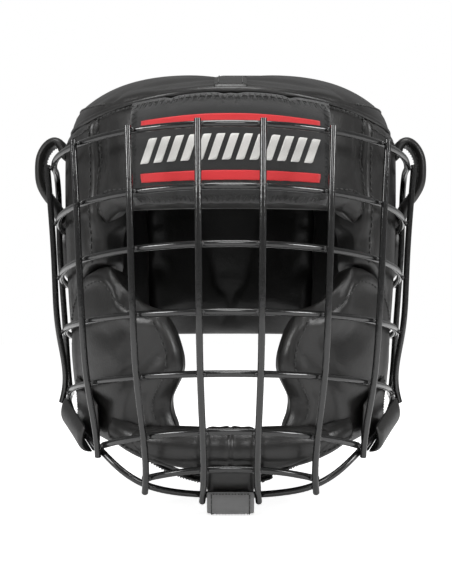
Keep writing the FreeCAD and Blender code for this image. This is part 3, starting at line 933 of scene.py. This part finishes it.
def dress_straps(straps):
    """Bodies, materials and stitches of the straps."""
    for side in ("left", "right"):
        upper = straps["upper_" + side]
        upper.read()
        upper.obj.data.materials.append(MATERIALS["strap"])
        subdivide(upper.obj)
        edges = [run_on(upper, straight(t, 0.03, 0.97, "s"), 3.6) for t in (0.12, 0.88)]
        thread_obj = stitch_mesh("upper_strap_%s_stitches" % side, edges)
        for obj in (upper.obj, thread_obj):
            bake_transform(obj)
        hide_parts("upper_strap_" + side, "upper_flap_" + side)
        clothe(straps["lower_" + side], "helmet", "strap", ["lower_strap_" + side])
        flap = "lower_flap_" + side
        clothe(straps[flap], flap, "strap", [flap])
        for name, body in (("lower_" + side, "helmet"), (flap, flap)):
            loop = (straight(0.08, 0.05, 0.95, "s") + straight(0.95, 0.08, 0.92)
                    + straight(0.92, 0.95, 0.05, "s"))
            stitch_object(name + "_stitches", [run_on(straps[name], loop, 3.6)], body)
    bodies = {"chin_tongue": "helmet", "chin_loop": "helmet", "chin_flap": "chin_flap",
              "chin_strap_left": "helmet", "chin_strap_right": "chin_strap", "crown_tab": "crown_tab",
              "rear_strap": "rear_strap"}
    for name, body in bodies.items():
        clothe(straps[name], body, "tape" if name == "chin_flap" else "strap", [name])
        border = (straight(0.1, 0.06, 0.94, "s") + straight(0.94, 0.1, 0.9)
                  + straight(0.9, 0.94, 0.06, "s") + straight(0.06, 0.9, 0.1))
        stitch_object(name + "_stitches", [run_on(straps[name], border, 3.6)], body)
    clothe(straps["rear_loop_patch"], "helmet", "fuzz", ["rear_loop_patch"])


CHIN_HALF_LENGTH = 60.0
CHIN_Y, CHIN_Z, CHIN_RADIUS = -106.0, -93.6, 13.2
# each crease: place across the chin, width, depth
CHIN_CREASES = ((-15, 2.8, 1.5), (15, 2.8, 1.5), (0, 1.1, 1.3))
WING_SAMPLES = 60
TAPE_WIDTH, TAPE_THICKNESS = 20.0, 1.3
EAR_RING_RADIUS, EAR_ROLL_RADIUS = 17.0, 8.6


def chin_guard():
    """The padded roll in front of the chin, creased beside its middle seam."""
    x = np.linspace(-CHIN_HALF_LENGTH, CHIN_HALF_LENGTH, 121)
    share = np.abs(x) / CHIN_HALF_LENGTH
    points = np.stack([x, CHIN_Y + 11 * share ** 2, CHIN_Z + 6.5 * share ** 2.4], axis=1)
    radius = np.full(len(x), CHIN_RADIUS)
    for centre, width, depth in CHIN_CREASES:
        radius -= depth * np.exp(-((x - centre) / width) ** 2)
    radius += 0.9 * np.cos(np.pi * x / 15) ** 2 * (np.abs(x) < 15)
    radius *= np.sqrt(np.clip(1 - (share * 0.99) ** 3.2, 0.02, 1))
    obj = make_object("chin_guard_roll", *tube(points, radius, sides=48), MATERIALS["cover"])
    subdivide(obj)
    attach(obj, "helmet", nodes=["chin_guard_cover", "chin_guard_foam"])


def chin_wings():
    """Padded leather from the ends of the chin roll up to the jaw on both sides."""
    low = spline([(36, -106, -106.5), (50, -101, -103), (62, -92, -98.5), (76, -77, -90.5)], WING_SAMPLES)
    high = spline([(36, -107, -84), (50, -102, -82), (62, -95, -80), (74, -82, -76)], WING_SAMPLES)
    places = np.arange(WING_SAMPLES)
    outward = unit(np.array([0.45, -0.88, -0.15]))

    def place(s, t, depth):
        lower = sample(low, places, s * places[-1])
        upper = sample(high, places, s * places[-1])
        swell = 4.0 * np.sin(np.pi * t) - depth
        return lower + (upper - lower) * t[..., None] + outward * swell[..., None]
    for side in ("left", "right"):
        wing = Pad("chin_guard_wing_" + side, place, 50, 22, ("soft",) * 4, 9.0, side == "right", step=2.0)
        clothe(wing, "helmet")
        line = straight(0.30, 0.30, 0.92, "s")
        stitch_object("chin_guard_wing_%s_stitches" % side, [run_on(wing, line, 3.8)])


def top_binding():
    """The rolled leather piping between the band and the crown."""
    turn = np.linspace(0, 2 * np.pi, 240, endpoint=False)
    points = np.stack([BINDING_HALF_WIDTH * np.sin(turn), PLAN_CENTRE_Y - BINDING_HALF_DEPTH * np.cos(turn),
                       BINDING_HEIGHT + BAND_TOP_RISE * np.cos(turn) ** 2], axis=1)
    roll = tube(points, BINDING_RADIUS, closed=True, sides=14)
    obj = make_object("top_binding_roll", *roll, MATERIALS["binding"])
    attach(obj, "helmet", nodes=["top_binding"])


def crown_tape():
    """The leather tape sewn over the joint between the two halves of the crown."""
    share = np.linspace(-1, 1, 40)
    top = crown_place(np.zeros(40), (share * 0.985 + 1) / 2, np.zeros(40))
    path = [(0.0, y, z + 0.4) for x, y, z in top]
    path = [(0.0, path[0][1] - 2.2, path[0][2] - 5.5)] + path + [(0.0, path[-1][1] + 2.2, path[-1][2] - 5.5)]
    tape = make_strap("crown_split_tape", path, (1, 0, 0), TAPE_WIDTH, TAPE_THICKNESS)
    lines = [run_on(tape, straight(t, 0.03, 0.97, "s"), 3.8) for t in (0.14, 0.86)]
    stitch_object("crown_split_tape_stitches", lines)
    clothe(tape, "helmet", "strap")


def ear_rings():
    """The padded rolls round the ear holes."""
    for side, sign in (("left", 1), ("right", -1)):
        turn = np.linspace(0, 2 * np.pi, 64, endpoint=False)
        y = EAR_CENTRE[1] + EAR_RING_RADIUS * np.cos(turn)
        z = EAR_CENTRE[2] + EAR_RING_RADIUS * np.sin(turn)
        half_width = WIDEST_HALF_WIDTH - SIDE_TAPER * (z - WIDEST_HEIGHT) ** 2
        half_depth = LONGEST_HALF_DEPTH - FRONT_TAPER * (z - LONGEST_HEIGHT) ** 2
        x = half_width * np.sqrt(1 - ((y - PLAN_CENTRE_Y) / half_depth) ** 2) + 4.0
        radius = EAR_ROLL_RADIUS + 0.25 * np.sin(turn * 9) + 0.2 * np.sin(turn * 14 + 1)
        roll = tube(np.stack([sign * x, y, z], axis=1), radius, closed=True, sides=24, up=(1, 0, 0))
        obj = make_object("ear_ring_%s_roll" % side, *roll, MATERIALS["cover"])
        subdivide(obj)
        attach(obj, "helmet", nodes=["ear_ring_" + side])


# ---------------------------- patch

PATCH_HALF_WIDTH = 58.0
PATCH_LOW, PATCH_HIGH = 52.5, 115.5
ART_HALF_WIDTH = 51.0
BAR_COUNT, BAR_WIDTH, BAR_LEAN, BAR_LOW, BAR_HIGH = 13, 4.6, 5.0, 77.0, 92.0
STRIPE_LOWS, STRIPE_HEIGHT = (65.5, 98.0), 5.5
ZIGZAG_PITCH = 1.6


def forehead_place(x, z):
    """The (s, t) place on the forehead pad at a sideways distance and a height."""
    angle = math.degrees(math.asin(max(-1, min(1, x / 107.0))))
    low, high = float(brow(angle)), float(band_top(angle))
    return 0.5 + angle / (2 * FOREHEAD_EDGE), (z - low) / (high - low)


def on_forehead(x, z, lift):
    """A point lifted off the forehead pad."""
    point, normal = PADS["forehead"].at(*forehead_place(x, z))
    return point + normal * lift


def patch_edge(x, z):
    """Heights of the patch follow the band, which drops towards its sides."""
    return z - 5.0 * (x / PATCH_HALF_WIDTH) ** 2 * (z - PATCH_LOW) / (PATCH_HIGH - PATCH_LOW)


def raised(name, outline, low, high, material, across=24):
    """A thin raised shape on the patch: outline(u) gives its low and high edge at each u from 0 to 1."""
    top, bottom = [], []
    rows = 7
    for i in range(across + 1):
        x, z_low, z_high = outline(i / across)
        for j in range(rows):
            z = z_low + (z_high - z_low) * j / (rows - 1)
            top.append(on_forehead(x, patch_edge(x, z), high))
            bottom.append(on_forehead(x, patch_edge(x, z), low))
    count = len(top)
    faces = []
    for i in range(across):
        for j in range(rows - 1):
            a, b = i * rows + j, (i + 1) * rows + j
            faces.append((a, b, b + 1, a + 1))
            faces.append((a + count, a + 1 + count, b + 1 + count, b + count))
    ring = [i * rows for i in range(across + 1)] + [across * rows + j for j in range(1, rows)]
    ring += [i * rows + rows - 1 for i in range(across - 1, -1, -1)] + list(range(rows - 2, 0, -1))
    for a, b in zip(ring, ring[1:] + ring[:1]):
        faces.append((b, a, a + count, b + count))
    return make_object(name, top + bottom, faces, material)


def build_patch():
    """The woven patch with plain slanted bars between two stripes, and a zig-zag border."""
    base = raised("front_patch_cloth", lambda u: (PATCH_HALF_WIDTH * (2 * u - 1), PATCH_LOW, PATCH_HIGH),
                  0.2, 1.3, MATERIALS["patch"], across=60)
    attach(base, "helmet", ["front_patch"])
    bars = []
    for index in range(BAR_COUNT):
        left = -ART_HALF_WIDTH + (2 * ART_HALF_WIDTH - BAR_WIDTH - BAR_LEAN) * index / (BAR_COUNT - 1)

        def bar(u, start=left):
            along = (BAR_WIDTH + BAR_LEAN) * u
            rise = (BAR_HIGH - BAR_LOW) / BAR_LEAN
            lower = BAR_LOW + max(0.0, along - BAR_WIDTH) * rise
            return start + along, lower, max(lower, BAR_LOW + min(along, BAR_LEAN) * rise)
        bars.append(raised("bar", bar, 1.1, 1.7, MATERIALS["white"], across=12))
    white = join("front_patch_bars", bars)
    stripes = [raised("stripe", lambda u, z=z: (ART_HALF_WIDTH * (2 * u - 1), z, z + STRIPE_HEIGHT),
                      1.1, 1.6, MATERIALS["red"], across=44) for z in STRIPE_LOWS]
    red = join("front_patch_stripes", stripes)
    for obj in (white, red):
        attach(obj, "helmet")
    corners = [(-1, -1), (1, -1), (1, 1), (-1, 1), (-1, -1)]
    zigzag = []
    middle_z, half_z = (PATCH_LOW + PATCH_HIGH) / 2, (PATCH_HIGH - PATCH_LOW) / 2
    for (x0, z0), (x1, z1) in zip(corners, corners[1:]):
        length = 2 * (PATCH_HALF_WIDTH if x0 != x1 else half_z)
        teeth = int(length / ZIGZAG_PITCH)
        for index in range(teeth):
            share = index / teeth
            x, z = x0 + (x1 - x0) * share, z0 + (z1 - z0) * share
            inward = 1.0 if index % 2 else 4.0
            x = x * (PATCH_HALF_WIDTH - (inward if x0 == x1 else 2.5))
            z = middle_z + z * (half_z - (inward if z0 == z1 else 2.5))
            zigzag.append(on_forehead(x, patch_edge(x, z), 1.45))
    border = make_object("front_patch_zigzag", *tube(zigzag, 0.33, closed=True, sides=6), MATERIALS["stitch"])
    attach(border, "helmet")


# ---------------------------- looks


SURROUND_LIGHT = 0.26
FLOOR_HALF_SIZE = 3.0
LENS, SENSOR_WIDTH = 98.6, 36.0
CAMERA_DISTANCE, CAMERA_AIM_X = 1.06, -0.003


def studio():
    """Pale floor, soft white surroundings and big soft lamps."""
    corners = np.array([(-1, -1, 0), (1, -1, 0), (1, 1, 0), (-1, 1, 0)]) * FLOOR_HALF_SIZE / MM
    floor = make_object("studio_floor", corners, [(0, 1, 2, 3)], smooth=False)
    floor.location.z = CAD_BOX[0][2] - 0.0005
    material = Nodes("pale_floor")
    seen = material.add("ShaderNodeLightPath").outputs["Is Camera Ray"]
    material.set(Base_Color=(0.92, 0.92, 0.92, 1.0), Roughness=0.8, Emission_Color=(1.0, 1.0, 1.0, 1.0),
                 Emission_Strength=material.ramp(seen, 0.0, 1.0, 0.05, 0.8))
    floor.data.materials.append(material.material)
    world = bpy.data.worlds.new("studio")
    bpy.context.scene.world = world
    world.use_nodes = True
    tree = world.node_tree
    seen = tree.nodes.new("ShaderNodeLightPath").outputs["Is Camera Ray"]
    strength = tree.nodes.new("ShaderNodeMapRange")
    strength.inputs["To Min"].default_value = SURROUND_LIGHT
    strength.inputs["To Max"].default_value = 1.0
    tree.links.new(seen, strength.inputs["Value"])
    tree.nodes["Background"].inputs[0].default_value = (1.0, 1.0, 1.0, 1.0)
    tree.links.new(strength.outputs["Result"], tree.nodes["Background"].inputs[1])
    bpy.context.scene.view_settings.view_transform = "Standard"
    lamps = [
        ("left", (-1.2, -0.7, 0.6), 0.5, 9),
        ("right", (1.2, -0.7, 0.6), 0.5, 9),
        ("top", (0.0, -0.3, 1.4), 0.8, 13),
        ("front", (0.0, -1.6, 0.9), 0.6, 6),
    ]
    for name, position, width, power in lamps:
        data = bpy.data.lights.new("lamp_" + name, "AREA")
        data.size = width
        data.energy = power
        lamp = bpy.data.objects.new("lamp_" + name, data)
        lamp.location = position
        lamp.rotation_euler = (Vector((0, 0, 0)) - Vector(position)).to_track_quat("-Z", "Y").to_euler()
        bpy.context.scene.collection.objects.link(lamp)


def camera():
    """The camera straight ahead, level with the eyes."""
    data = bpy.data.cameras.new("camera")
    data.lens = LENS
    data.sensor_width = SENSOR_WIDTH
    obj = bpy.data.objects.new("camera", data)
    obj.location = (0.0, -CAMERA_DISTANCE, 0.0)
    obj.rotation_euler = (Vector((CAMERA_AIM_X, 0, 0)) - obj.location).to_track_quat("-Z", "Y").to_euler()
    bpy.context.scene.collection.objects.link(obj)
    bpy.context.scene.camera = obj


def finish_pads():
    """Materials, smooth surface and frame nodes of every pad."""
    for name, pad in PADS.items():
        obj = pad.obj
        obj.data.materials.append(MATERIALS["cover"])
        obj.data.materials.append(MATERIALS["lining"])
        # inner faces take the lining, whose extra darkness is partly painted shade for the shadowed inside of
        # the helmet
        inner = [min(face.vertices) >= pad.count for face in obj.data.polygons]
        obj.data.polygons.foreach_set("material_index", [1 if side else 0 for side in inner])
        subdivide(obj)
        nodes = [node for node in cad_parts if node.startswith(name + "_") and
                 node.rsplit("_", 1)[1] in ("cover", "foam", "lining")]
        attach(obj, "helmet", nodes=nodes)


MATERIALS = build_materials()
PADS = build_pads()
# how far a point of each pad may swell, in millimetres
CAPS = {"forehead": 2.5, "back": 4.0, "side": 1.2, "cheek": 2.0, "crown": 1.5}
inflate(PADS, CAPS)
for one in PADS.values():
    one.read()
finish_pads()
pad_stitches()
build_patch()
chin_guard()
chin_wings()
top_binding()
crown_tape()
ear_rings()
weld_beads()
dress_straps(build_straps())

for node_name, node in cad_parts.items():
    if node_name.startswith("cage_"):
        node.data.materials.clear()
        node.data.materials.append(MATERIALS["wire"])

studio()
camera()
